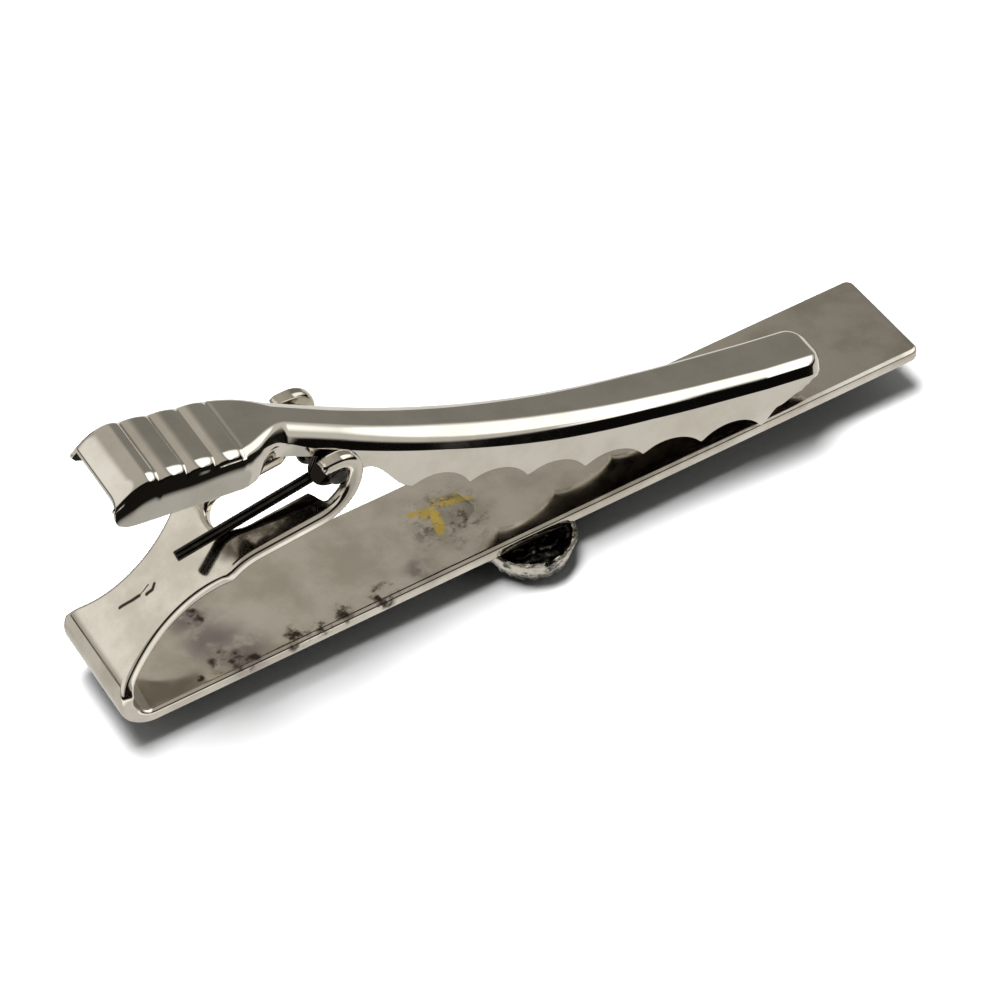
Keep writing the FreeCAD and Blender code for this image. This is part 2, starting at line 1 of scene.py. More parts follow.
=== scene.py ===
"""Looks of a sprung tie clip seen from its back: bar, hinge pin, spring, clamp lever and ornament.

Lengths are in mm and places are in the part's frame, unless a line says otherwise.
"""
import math
import bpy
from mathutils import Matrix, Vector


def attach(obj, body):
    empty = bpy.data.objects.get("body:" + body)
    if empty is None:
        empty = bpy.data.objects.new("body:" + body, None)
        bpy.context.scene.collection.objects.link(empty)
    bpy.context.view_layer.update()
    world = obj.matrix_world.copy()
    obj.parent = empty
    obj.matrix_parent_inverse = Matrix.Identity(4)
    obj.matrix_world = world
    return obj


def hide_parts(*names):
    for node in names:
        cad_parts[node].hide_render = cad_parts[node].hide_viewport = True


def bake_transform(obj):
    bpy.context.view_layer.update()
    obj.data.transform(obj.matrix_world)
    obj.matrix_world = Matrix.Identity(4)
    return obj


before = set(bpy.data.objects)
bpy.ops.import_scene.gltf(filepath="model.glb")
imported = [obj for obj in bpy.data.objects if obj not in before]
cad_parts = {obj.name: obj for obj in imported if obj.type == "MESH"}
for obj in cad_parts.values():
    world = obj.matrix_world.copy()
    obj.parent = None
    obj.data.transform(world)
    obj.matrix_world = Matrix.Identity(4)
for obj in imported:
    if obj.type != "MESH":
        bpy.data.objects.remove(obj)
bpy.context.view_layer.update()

# Front bar.
# A strip of bright nickel-plated sheet, sheared to width, folded back at one end into a forked tongue
# whose two arms curl over the hinge pin. The plating on its back is cloudy, spotted and worn.
MM = 0.001
BAR_SHEET = 1.0
BAR_EDGE = 0.30
BAR_HALF = 4.0
BAR_CORNER = 0.6
CORNER_ZONE = 3
# The clamp is turned a little on the bar and its fork a little back again; both turns fade in from the bar.
CLAMP_ORIGIN = Vector((-27.525, 0, 3.0))
CLAMP_YAW = math.radians(-2.5)
YAW_FADE = 4
FORK_TURN = math.radians(1.85)
FORK_FADE = 3
# The strip's middle line from the free end round the fold to the hooks' tips: the length of each stretch
# and its turn in degrees, and into how many parts the mesh cuts it.
BAR_END = 57.525
STRIP_LINE = ((BAR_END, 0), (4.524, -144), (9.06, 0), (1.802, -29.5), (4.386, 0), (4.372, 83.5), (1.806, 90),
              (0.5, 0), (0.602, 30))
STRIP_PARTS = (12, 40, 24, 16, 26, 24, 24, 3, 2)
STRIP_LENGTH = sum(length for length, turn in STRIP_LINE)
CLIMB_START = STRIP_LINE[0][0] + STRIP_LINE[1][0]
# The tongue's waist, and the fork above it, by the height over the waist's middle.
WAIST_UP = 4.2
WAIST_HALF = 2.35
WAIST_RADIUS = 9.2
WAIST_REACH = 6
FORK_UP = 4.45
FORK_HALF = 3.5
# The fork's slot with its round start, and the hooks that the two arms narrow into.
SLOT_START = 6.8
SLOT_RADIUS = 1.75
SLOT_SHIFT = 0.5
SHIFT_RUN = 4
ROUND_BEFORE = 1
ROUND_AFTER = 2
SLOT_OPEN = 4
SLOT_SEARCH = 14
SLOT_HALVINGS = 40
HOOK_START = 13.1
HOOK_HALF = 2.6
HOOK_LEAD = 0.5
HOOK_RUN = 0.7
HOOK_LENGTH = 6
# Mesh steps: in from a cut edge, along the rounded corners, about the slot's start, and shares of an arm.
RIM_STEPS = (0.0, 0.02, 0.08, 0.17, 0.30, 0.35)
CORNER_STEPS = (0.45, 0.6, 1.5)
SLOT_STEPS = (-0.6, -0.42, -0.3, -0.17, -0.08, -0.02, 0, 0.01, 0.04, 0.1, 0.2, 0.35, 0.55)
ARM_STEPS = (0.3, 0.6, 0.78, 0.9)
CLOSEST_STEP = 0.0085
# Colours of the plating and of what has happened to it, and the brown of a painted shade on the near arm.
NICKEL = (0.74, 0.70, 0.63, 1)
NICKEL_CLOUDED = (0.57, 0.53, 0.46, 1)
SPOT_DULL = (0.30, 0.265, 0.27, 1)
SPOT_DARK = (0.075, 0.060, 0.045, 1)
RUBBED_GREY = (0.42, 0.40, 0.34, 1)
BRASS = (0.80, 0.60, 0.16, 1)
PAINTED_SHADE_BROWN = (0.125, 0.105, 0.080, 1)
SCRATCH_DARK = (0.035, 0.030, 0.024, 1)
# Marks on the bar's back, each with its reach: dulled patches, dark specks and the rubbed place.
BAR_BRUISES = ((-21.9, -1.0, 3.0, 3.1), (-20.9, -2.8, 3.0, 2.8), (-22.4, 1.4, 3.0, 2.0),
               (-8.1, -2.9, 3.0, 1.6))
BAR_SPECKS = ((-22.3, -2.9, 3.0, 1.6), (-20.9, -3.6, 3.0, 1.0), (-22.0, 1.4, 3.0, 0.9),
              (-17.3, -3.5, 3.0, 1.2), (-15.6, -3.7, 3.0, 0.9), (-13.8, -3.4, 3.0, 1.0),
              (-11.0, -3.5, 3.0, 1.3), (-24.2, -3.4, 3.0, 0.5))
RUBBED_PLACE = (-4.3, -0.2, 3.0, 3.6)
# Strokes, each with both ends and its half width: brass smears at the rivet, painted shade on the near arm
# and scratches on the tongue.
BRASS_STROKES = (((-6.2, 1.45, 3.05), (-2.2, 0.75, 3.05), 0.32),
                 ((-5.6, 0.75, 3.05), (-4.2, 1.7, 3.05), 0.30),
                 ((-4.9, 0.6, 3.05), (-5.1, -0.7, 3.05), 0.50),
                 ((-3.6, 1.5, 3.05), (-2.5, 1.25, 3.05), 0.20))
ARM_PAINTED_SHADE = ((-20.6, -2.05, 11.9), (-14.2, -2.1, 13.1), 1.55)
TONGUE_SCRATCHES = (((-27.14, 0.92, 7.38), (-26.00, 0.43, 8.23), 0.16),
                    ((-26.00, 0.43, 8.23), (-25.28, 0.47, 8.76), 0.06),
                    ((-25.66, 0.08, 8.49), (-25.30, -0.00, 8.75), 0.17),
                    ((-25.30, -0.00, 8.75), (-25.01, 0.18, 8.96), 0.15))


def held(value):
    """A value held between 0 and 1."""
    return max(0.0, min(1.0, value))


def eased(share):
    """A share from 0 to 1 that starts and ends gently."""
    return share * share * (3 - 2 * share)


def follow(line, start, heading, place):
    """Where a line of straight and bent stretches is at a length along it, and its heading."""
    x, z = start
    heading = math.radians(heading)
    left = place
    for index, (length, turn) in enumerate(line):
        run = left if (left < length or index == len(line) - 1) else length
        turned = math.radians(turn) * run / length
        chord = run if abs(turned) < 1e-9 else 2 * math.sin(turned / 2) * run / turned
        x += chord * math.cos(heading + turned / 2)
        z += chord * math.sin(heading + turned / 2)
        heading += turned
        left -= run
        if left <= 0:
            break
    return x, z, heading


def strip_at(along):
    """Point and heading of the strip's middle line in the clamp's plane."""
    return follow(STRIP_LINE, (BAR_END, -BAR_SHEET / 2), 180, along)


def slot_place():
    """The length along the strip at which its slot starts, found by halving a stretch of the tongue."""
    low, high = CLIMB_START, CLIMB_START + SLOT_SEARCH
    for _ in range(SLOT_HALVINGS):
        middle = (low + high) / 2
        low, high = (middle, high) if strip_at(middle)[0] < SLOT_START else (low, middle)
    return low


SLOT_PLACE = slot_place()
strip_places = list(RIM_STEPS + CORNER_STEPS) + [STRIP_LENGTH - step for step in RIM_STEPS]
strip_places += [SLOT_PLACE + step for step in SLOT_STEPS]
passed = 0.0
for (length, turn), parts in zip(STRIP_LINE, STRIP_PARTS):
    strip_places += [passed + length * part / parts for part in range(1, parts)] + [passed]
    passed += length
strip_places = sorted(set(round(place, 3) for place in strip_places))
strip_places = [a for a, b in zip(strip_places, strip_places[1:] + [math.inf]) if b - a > CLOSEST_STEP]


def strip_edges(along, x):
    """Near and far edge of the strip, and the two sides of its slot, across the bar."""
    half = BAR_HALF
    up = along - CLIMB_START - WAIST_UP
    if up > FORK_UP:
        half = FORK_HALF
    elif up > -WAIST_REACH:
        half = min(half, WAIST_HALF + WAIST_RADIUS - math.sqrt(WAIST_RADIUS ** 2 - up ** 2))
    if along < BAR_CORNER:
        half += math.sqrt(BAR_CORNER ** 2 - (BAR_CORNER - along) ** 2) - BAR_CORNER
    near_slot = far_slot = SLOT_SHIFT * held((up + SHIFT_RUN) / SHIFT_RUN)
    if along > SLOT_PLACE:
        reach = 1.0 if along > SLOT_PLACE + SLOT_OPEN else min(1.0, (x - SLOT_START) / SLOT_RADIUS)
        open_half = SLOT_RADIUS * math.sqrt(max(0.0, 1 - (1 - reach) ** 2))
        hook = held((x - HOOK_START + HOOK_LEAD) / HOOK_RUN)
        if along > STRIP_LENGTH - HOOK_LENGTH:
            hook = 1.0
        hook = eased(hook)
        near_slot = SLOT_SHIFT - open_half + (open_half - SLOT_SHIFT - HOOK_HALF) * hook
        far_slot = SLOT_SHIFT + open_half + (HOOK_HALF - SLOT_SHIFT - open_half) * hook
    return -half, near_slot, far_slot, half


def strip_rows(near, near_slot, far_slot, far):
    """Rows across the strip: close together along each edge, where the sheet is rounded off."""
    rim = RIM_STEPS[-1]
    first = [near + step for step in RIM_STEPS]
    first += [first[-1] + (near_slot - near - 2 * rim) * share for share in ARM_STEPS]
    first += [near_slot - step for step in reversed(RIM_STEPS)]
    second = [far_slot + step for step in RIM_STEPS]
    second += [far - rim - (far - far_slot - 2 * rim) * share for share in reversed(ARM_STEPS)]
    second += [far - step for step in reversed(RIM_STEPS)]
    return first + second


def rounded(gap):
    """Share of the sheet's thickness that is left at a distance from its edge."""
    gap = max(0.0, min(BAR_EDGE, gap))
    return 1 - 2 * (BAR_EDGE - math.sqrt(BAR_EDGE ** 2 - (BAR_EDGE - gap) ** 2)) / BAR_SHEET


def edge_gap(along, x, across, edges):
    """Distance of a point of the strip from the nearest cut edge."""
    near, near_slot, far_slot, far = edges
    side = min(across - near, far - across)
    if along < CORNER_ZONE:
        past_side = max(0.0, abs(across) - BAR_HALF + BAR_CORNER)
        side = BAR_CORNER - math.hypot(max(0.0, BAR_CORNER - along), past_side)
    slot = BAR_EDGE
    if SLOT_PLACE - ROUND_BEFORE < along < SLOT_PLACE + ROUND_AFTER and x < SLOT_START + SLOT_RADIUS:
        slot = math.hypot(x - SLOT_START - SLOT_RADIUS, across - SLOT_SHIFT) - SLOT_RADIUS
    elif along > SLOT_PLACE:
        slot = near_slot - across if across < (near_slot + far_slot) / 2 else across - far_slot
    corner = math.hypot(max(0.0, BAR_EDGE - min(side, slot)), max(0.0, BAR_EDGE - STRIP_LENGTH + along))
    return BAR_EDGE - corner


ROW_COUNT = 2 * (2 * len(RIM_STEPS) + len(ARM_STEPS))
bpy.ops.object.select_all(action="DESELECT")
bpy.ops.mesh.primitive_grid_add(x_subdivisions=len(strip_places) - 1, y_subdivisions=ROW_COUNT - 1, size=2)
bar = bpy.context.active_object
bar.name = "bar_strip"
thickness = bar.vertex_groups.new(name="thickness")
slot_rows = set()
for point in bar.data.vertices:
    along = strip_places[round((point.co.x + 1) / 2 * (len(strip_places) - 1))]
    row = round((point.co.y + 1) / 2 * (ROW_COUNT - 1))
    x, z, heading = strip_at(along)
    near, near_slot, far_slot, far = strip_edges(along, x)
    turn = CLAMP_YAW if along > BAR_END else CLAMP_YAW * (1 - min(1.0, x / YAW_FADE)) ** 2
    fork = x * math.tan(FORK_TURN) * held((along - CLIMB_START) / FORK_FADE)
    nearest = (-BAR_HALF - x * math.sin(turn)) / math.cos(turn) - fork
    farthest = (BAR_HALF - x * math.sin(turn)) / math.cos(turn) - fork
    edges = (max(near, nearest), near_slot, far_slot, min(far, farthest))
    across = strip_rows(*edges)[row]
    thickness.add([point.index], rounded(edge_gap(along, x, across, edges)), "REPLACE")
    across += fork
    bent = Vector((x * math.cos(turn) - across * math.sin(turn),
                   x * math.sin(turn) + across * math.cos(turn), z))
    point.co = (CLAMP_ORIGIN + bent) * MM
    if row in (ROW_COUNT // 2 - 1, ROW_COUNT // 2):
        slot_rows.add(point.index)
# The slot is cut out, and the flat grid is given its thickness on both sides.
bpy.ops.object.mode_set(mode="EDIT")
bpy.ops.mesh.select_mode(type="FACE")
bpy.ops.mesh.select_all(action="DESELECT")
bpy.ops.object.mode_set(mode="OBJECT")
for face in bar.data.polygons:
    face.select = all(index in slot_rows for index in face.vertices)
bpy.ops.object.mode_set(mode="EDIT")
bpy.ops.mesh.delete(type="ONLY_FACE")
bpy.ops.mesh.select_mode(type="VERT")
bpy.ops.mesh.select_all(action="SELECT")
bpy.ops.mesh.delete_loose(use_verts=True, use_edges=True, use_faces=False)
bpy.ops.mesh.select_all(action="SELECT")
bpy.ops.mesh.remove_doubles(threshold=0.001 * MM)
bpy.ops.mesh.normals_make_consistent(inside=False)
bpy.ops.object.mode_set(mode="OBJECT")
sheet = bar.modifiers.new("sheet", "SOLIDIFY")
sheet.thickness = BAR_SHEET * MM
sheet.offset = 0
sheet.vertex_group = "thickness"
bpy.ops.object.modifier_apply(modifier="sheet")
bar.vertex_groups.clear()
bpy.ops.object.mode_set(mode="EDIT")
bpy.ops.mesh.select_all(action="SELECT")
bpy.ops.mesh.normals_make_consistent(inside=False)
bpy.ops.object.mode_set(mode="OBJECT")
bpy.ops.object.shade_smooth()


def set_input(tree, socket, value):
    """Links a socket to another one, or gives it a plain value."""
    if isinstance(value, bpy.types.NodeSocket):
        tree.links.new(value, socket)
    else:
        socket.default_value = value


def node_maker(tree):
    """A function that adds a node to a tree, sets it up and gives one of its outputs."""
    def add(kind, inputs=None, out=0, **settings):
        node = tree.nodes.new(kind)
        for key, value in settings.items():
            setattr(node, key, value)
        for key, value in (inputs or {}).items():
            set_input(tree, node.inputs[key], value)
        return node.outputs[out]

    return add


def new_finish(name):
    """A material with a shader: the material, a maker of its nodes and a setter of the shader's inputs."""
    finish = bpy.data.materials.new(name)
    finish.use_nodes = True
    tree = finish.node_tree
    tree.nodes.clear()
    output = tree.nodes.new("ShaderNodeOutputMaterial")
    shader = tree.nodes.new("ShaderNodeBsdfPrincipled")
    tree.links.new(shader.outputs["BSDF"], output.inputs["Surface"])

    def use(**inputs):
        for key, value in inputs.items():
            set_input(tree, shader.inputs[key.replace("_", " ")], value)

    return finish, node_maker(tree), use


def mixed(add, factor, first, second):
    """A mix of two colours."""
    return add("ShaderNodeMix", {0: factor, 6: first, 7: second}, out=2, data_type="RGBA")


def ranged(add, value, low, high, to_low=0.0, to_high=1.0):
    """A value read off between two limits, smoothed at both ends."""
    limits = {0: value, 1: low, 2: high, 3: to_low, 4: to_high}
    return add("ShaderNodeMapRange", limits, interpolation_type="SMOOTHSTEP")


def cloud(add, place, scale, detail=4, roughness=0.6):
    """Soft noise of a given fineness in space."""
    grain = {"Vector": place, "Scale": scale, "Detail": detail, "Roughness": roughness}
    return add("ShaderNodeTexNoise", grain)


def strayed(add, place, reach):
    """A place that wanders along and across the bar by up to about a given reach."""
    warp = add("ShaderNodeTexNoise", {"Vector": place, "Scale": 600, "Detail": 5}, out="Color")
    drift = add("ShaderNodeVectorMath", {0: warp, 1: (0.5, 0.5, 0.5)}, operation="SUBTRACT")
    span = (reach * MM, reach * MM, 0)
    return add("ShaderNodeVectorMath", {0: drift, 1: span, 2: place}, operation="MULTIPLY_ADD")


def largest(add, values):
    """The largest of several masks."""
    top = values[0]
    for value in values[1:]:
        top = add("ShaderNodeMath", {0: top, 1: value}, operation="MAXIMUM")
    return top


def product(add, first, second):
    """Two masks multiplied."""
    return add("ShaderNodeMath", {0: first, 1: second}, operation="MULTIPLY")


def patch(add, where, centre, span, core):
    """A mask round a place, full inside its core and gone at its span."""
    gap = add("ShaderNodeVectorMath", {0: where, 1: Vector(centre) * MM}, out="Value", operation="DISTANCE")
    return ranged(add, gap, span * MM, core * MM)


def stroke(add, where, start, end, width):
    """A mask along a line between two places."""
    start, end = Vector(start) * MM, Vector(end) * MM
    line = end - start
    off = add("ShaderNodeVectorMath", {0: where, 1: start}, operation="SUBTRACT")
    per_length = line / line.length_squared
    share = add("ShaderNodeVectorMath", {0: off, 1: per_length}, out="Value", operation="DOT_PRODUCT")
    share = add("ShaderNodeMath", {0: share, 1: 0.0}, operation="ADD", use_clamp=True)
    on_line = add("ShaderNodeVectorMath", {0: line, "Scale": share}, operation="SCALE")
    gap = add("ShaderNodeVectorMath", {0: off, 1: on_line}, out="Value", operation="DISTANCE")
    return ranged(add, gap, width * MM, 0.4 * width * MM)


def brass_smear(add, place):
    """The mask of the strokes in which bare brass shows at the rivet."""
    where = strayed(add, place, 0.8)
    smear = largest(add, [stroke(add, where, *ends) for ends in BRASS_STROKES])
    gaps = ranged(add, cloud(add, place, scale=1500, detail=5, roughness=0.65), 0.36, 0.50)
    return product(add, smear, gaps)


finish, add, use = new_finish("worn_nickel")
place = add("ShaderNodeTexCoord", out="Object")
where = strayed(add, place, 1.6)
bruise = largest(add, [patch(add, where, centre, span, core=0.3) for *centre, span in BAR_BRUISES])
mottle = ranged(add, cloud(add, place, scale=700, detail=5), 0.30, 0.55, to_low=0.25, to_high=0.9)
bruise = product(add, bruise, mottle)
where = strayed(add, place, 2.2)
speck = largest(add, [patch(add, where, centre, span, core=0.1) for *centre, span in BAR_SPECKS])
crumbs = ranged(add, cloud(add, place, scale=1100, detail=6), 0.42, 0.60)
speck = product(add, ranged(add, speck, 0.05, 0.6), crumbs)
rubbed = patch(add, strayed(add, place, 1.5), RUBBED_PLACE[:3], RUBBED_PLACE[3], core=1.0)
scuff = ranged(add, cloud(add, place, scale=800, detail=6), 0.4, 0.6, to_low=0.1, to_high=0.75)
scored = cloud(add, place, scale=1300, detail=6, roughness=0.7)
grit = product(add, ranged(add, scored, 0.50, 0.62), 0.7)
# A brown stroke along the near arm's inner face: painted shade under the lever.
arm_shade_mottle = ranged(add, cloud(add, place, scale=600, detail=5), 0.34, 0.56, to_low=0.35, to_high=0.95)
arm_shade = product(add, stroke(add, strayed(add, place, 0.5), *ARM_PAINTED_SHADE), arm_shade_mottle)
where = strayed(add, place, 0.3)
scratch = largest(add, [stroke(add, where, *ends) for ends in TONGUE_SCRATCHES])
clouding = ranged(add, cloud(add, place, scale=230, detail=5), 0.38, 0.66)
colour = mixed(add, clouding, NICKEL, NICKEL_CLOUDED)
colour = mixed(add, bruise, colour, SPOT_DULL)
colour = mixed(add, product(add, rubbed, scuff), colour, RUBBED_GREY)
colour = mixed(add, product(add, rubbed, grit), colour, SPOT_DARK)
colour = mixed(add, speck, colour, SPOT_DARK)
colour = mixed(add, brass_smear(add, place), colour, BRASS)
colour = mixed(add, arm_shade, colour, PAINTED_SHADE_BROWN)
colour = mixed(add, scratch, colour, SCRATCH_DARK)
gloss = ranged(add, cloud(add, place, scale=340, detail=6), 0.35, 0.7, to_low=0.07, to_high=0.15)
for mask, dulling in ((bruise, 0.10), (rubbed, 0.12), (speck, 0.20)):
    gloss = add("ShaderNodeMath", {0: mask, 1: dulling, 2: gloss}, operation="MULTIPLY_ADD")
waves = cloud(add, place, scale=420, detail=3)
ripple = add("ShaderNodeBump", {"Strength": 0.05, "Distance": 0.05 * MM, "Height": waves})
rough = add("ShaderNodeBump", {"Strength": 0.35, "Distance": 0.06 * MM, "Normal": ripple,
                               "Height": product(add, rubbed, scored)})
use(Metallic=1.0, Base_Color=colour, Roughness=gloss, Normal=rough)
bar.data.materials.append(finish)
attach(bar, "bar")
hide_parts("front_bar")

# Hinge pin.
# A plain length of plated wire through the lever's two ears, held down by the hooked ends of the fork.
# Its steel is made near black, as painted shade for the dark inside of the hinge.
PIN_RADIUS = 0.6
PIN_LENGTH = 6.8
PIN_EDGE = 0.12
PIN_MIDDLE = Vector((-13.7451, -0.15, 15.2))
PIN_ROTATION = (math.radians(90), 0, CLAMP_YAW)
# Both greys are near black: painted shade inside the hinge.
PIN_GREY = (0.10, 0.092, 0.080, 1)
PIN_SHADE_DARKER = (0.04, 0.036, 0.030, 1)


def round_edges(piece, width, segments, sharpest):
    """Rounds the edges that turn by more than an angle in degrees, and shades the rest smooth."""
    bevel = piece.modifiers.new("rounded_edges", "BEVEL")
    bevel.width = width * MM
    bevel.segments = segments
    bevel.limit_method = "ANGLE"
    bevel.angle_limit = math.radians(sharpest)
    bevel.harden_normals = True
    bpy.ops.object.shade_smooth()
    bpy.ops.object.modifier_apply(modifier=bevel.name)


bpy.ops.object.select_all(action="DESELECT")
bpy.ops.mesh.primitive_cylinder_add(vertices=48, radius=PIN_RADIUS * MM, depth=PIN_LENGTH * MM,
                                    location=PIN_MIDDLE * MM, rotation=PIN_ROTATION)
pin = bpy.context.active_object
pin.name = "pin_rod"
bpy.ops.object.transform_apply(location=True, rotation=True, scale=True)
round_edges(pin, PIN_EDGE, segments=3, sharpest=40)
finish, add, use = new_finish("pin_steel")
place = add("ShaderNodeTexCoord", out="Object")
pin_mottle = ranged(add, cloud(add, place, scale=900, detail=5), 0.35, 0.7)
use(Metallic=1.0, Base_Color=mixed(add, pin_mottle, PIN_GREY, PIN_SHADE_DARKER),
    Roughness=ranged(add, pin_mottle, 0, 1, to_low=0.14, to_high=0.34))
pin.data.materials.append(finish)
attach(pin, "bar")
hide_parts("hinge_pin")

# Torsion spring.
# Dark drawn spring wire wound round the pin; one leg presses down on the tongue and the other up under the
# pad. On the real clip the lower leg stays with the bar, the upper leg goes with the lever and the coil turns
# between them; here the wire is one still piece, joined to neither.
WIRE_EDGE = 0.08
WIRE_DARK = (0.030, 0.028, 0.026, 1)
WIRE_RUBBED = (0.060, 0.055, 0.050, 1)


def copy_of_node(node, name):
    """A new object with a merged copy of a node's mesh, selected and active."""
    bpy.ops.object.select_all(action="DESELECT")
    piece = bpy.data.objects.new(name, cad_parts[node].data.copy())
    bpy.context.scene.collection.objects.link(piece)
    bpy.context.view_layer.objects.active = piece
    piece.select_set(True)
    piece.data.materials.clear()
    bpy.ops.mesh.customdata_custom_splitnormals_clear()
    bpy.ops.object.mode_set(mode="EDIT")
    bpy.ops.mesh.select_all(action="SELECT")
    bpy.ops.mesh.remove_doubles(threshold=0.002 * MM)
    bpy.ops.mesh.dissolve_limited(angle_limit=math.radians(0.4))
    bpy.ops.mesh.normals_make_consistent(inside=False)
    bpy.ops.object.mode_set(mode="OBJECT")
    return piece


spring = copy_of_node("torsion_spring", "spring_wire")
round_edges(spring, WIRE_EDGE, segments=3, sharpest=45)
finish, add, use = new_finish("spring_steel")
place = add("ShaderNodeTexCoord", out="Object")
streak = ranged(add, cloud(add, place, scale=1400, detail=5), 0.35, 0.7)
use(Metallic=1.0, Base_Color=mixed(add, streak, WIRE_DARK, WIRE_RUBBED),
    Roughness=ranged(add, streak, 0, 1, to_low=0.16, to_high=0.26))
spring.data.materials.append(finish)
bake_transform(spring)
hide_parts("torsion_spring")

# Clamp lever.
# Thin nickel-plated sheet pressed into a channel with round shoulders and scalloped teeth; its thumb pad is
# wider, turned down at the tip and pressed with four grooves. It turns on the pin through its two ears.
LEVER_SHEET = 0.55
# The roof's line from the pad to the nose in the clamp's plane: its start, its first slope in degrees, and
# the length and turn of each stretch.
ROOF_START = (-0.55, 18.814)
PAD_SLOPE = -11
ROOF_LINE = ((9.75, 0), (1.99, -19), (4.56, 0), (27.646, 22), (9.354, 0))
# Places along the roof's line.
TIP = -0.2
CROWN = 2.0
GROOVES = (2.6, 4.5, 6.4, 8.3)
ARM_START = 9
ARM_RUN = 4
PIN_PLACE = 16.3
FIRST_TOOTH = 23.0
LAST_TOOTH = 48.5
NOSE = 53.3
NOSE_ROUND = 1.7
# The pad's relief, and how far its tip and the nose turn down.
PILLOW_HEIGHT = 0.15
GROOVE_DEPTH = 0.07
GROOVE_WIDTH = 0.12
CROWN_FALL = 0.42
TIP_DROP = 1.65
NOSE_DROP = 1.25
# Across the lever, at places along it: the roof's flat half, the shoulder's radius, the roof's lift over its
# line, its shift to the far side, the flange's half width at the teeth, the angle in degrees at which the
# shoulder meets the flange, and the straight slant below the shoulder's bend.
ROOF_FLATS = ((-0.4, 2.12), (8.4, 2.05), (12.1, 0.50), (24.5, 0.45), (40.0, 0.82), (48.5, 1.04))
SHOULDERS = ((-0.4, 0.80), (8.4, 0.75), (12.1, 1.45), (24.5, 1.54), (40.0, 0.94), (48.5, 0.74))
LIFTS = ((8.4, 0.10), (12.1, 0.25), (24.5, 0.20), (40.0, 0.04), (48.5, 0.0))
SHIFTS = ((-0.4, -0.12), (8.4, -0.10), (12.1, 0.14), (24.5, 0.12), (40.0, 0.0), (48.5, -0.33))
FEET = ((14.0, 1.95), (24.5, 1.95), (40.0, 2.02), (48.5, 2.25))
SHOULDER_ENDS = ((8.4, 66), (9.8, 48), (11.8, 48), (14.4, 56), (24.5, 56), (40.0, 63), (48.5, 63.5))
SLANTS = ((-0.4, 0.0), (1.2, 0.42), (4.5, 0.28), (8.4, 0.0), (12.1, 0.47), (24.5, 0.47), (40.0, 0.86),
          (48.5, 0.92))
# How deep the flange hangs below the roof: along the pad, round the pin's ear, in the throat, at the teeth
# and at the nose, and the share of it that the far flange has at the tip.
LOWER_EDGE = ((-0.15, 2.3), (0.1, 2.8), (0.7, 2.95), (8.3, 2.55), (9.3, 2.35), (10.4, 1.6), (14.8, 1.38))
EAR_CENTRE = 2.05
EAR_RADIUS = 1.45
THROAT = ((17.03, 3.31), (19.15, 2.0), (FIRST_TOOTH, 3.6))
TOOTH_DEPTHS = ((23.0, 3.60), (31.4, 3.75), (39.8, 4.0), (44.0, 4.3), (53.0, 4.38))
TOOTH_DEPTH = 4.3
TOOTH_PITCH = 4.2
TOOTH_SPACES = 6
SCALLOP_RADIUS = 2.8
NOSE_EDGE = ((48.5, 4.34), (49.6, 2.95), (51.1, 2.15), (51.6, 1.65), (52.1, 0.8), (53.3, 0.6))
FAR_SHARES = ((-0.2, 0.82), (2.5, 1.0))
SHORTEST_FLANGE = 0.25
FLANGE_FLARE = 0.45
# Mesh rows from the roof's middle (0) over the shoulder's crease (1) and foot (2) to the flange's edge (3):
# where the shoulder's bend ends, and where the pad's relief fades out on the near and the far side.
ROW_STEPS = (0, 0.5, 0.95, 1, 1.1, 1.2, 1.3, 1.4, 1.5, 1.6, 1.7, 1.8, 1.83, 1.9, 1.975, 2, 2.01, 2.03, 2.2,
             2.4, 2.6, 2.8, 2.9, 2.95, 2.98, 3)
BEND_ROWS = 0.8
SLANT_FROM = 1.8
SLANT_ROWS = 0.2
NEAR_RELIEF_ROW = 1.55
FAR_RELIEF_ROW = 1.2
RELIEF_FADE_ROWS = 0.45
# Mesh stations along the lever, and how the sheet thins towards the tip and the flange's edge.
STATION_STEP = 0.15
FIRST_STATION = 0.05
NOSE_STATIONS = 14
TIP_THIN = 0.35
TIP_THICKENING = 0.8
EDGE_THIN = 0.6
EDGE_THICKENING = 6
# Colours, and the dark patch of painted shade round the ear at the hinge, with its reach.
LEVER_NICKEL = (0.76, 0.73, 0.67, 1)
LEVER_HAZED = (0.68, 0.645, 0.58, 1)
LEVER_PAINTED_SHADE = (0.020, 0.016, 0.012, 1)
INSIDE_SHADE_BROWN = (0.050, 0.036, 0.026, 1)
INSIDE_SHADE_DARK = (0.010, 0.0075, 0.006, 1)
HINGE_PAINTED_SHADE = (-14.6, -2.1, 15.2, 1.9)


def between(table, place, eased_under=4):
    """A value read from a short table of places: straight over long stretches, eased over short ones."""
    for (low, first), (high, second) in zip(table, table[1:]):
        if place <= high:
            share = max(0.0, (place - low) / (high - low))
            if high - low < eased_under:
                share = eased(share)
            return first + (second - first) * share
    return table[-1][1]


def roof_point(place):
    """Where the roof's line is at a length along it, and its heading."""
    return follow(ROOF_LINE, ROOF_START, PAD_SLOPE, place)


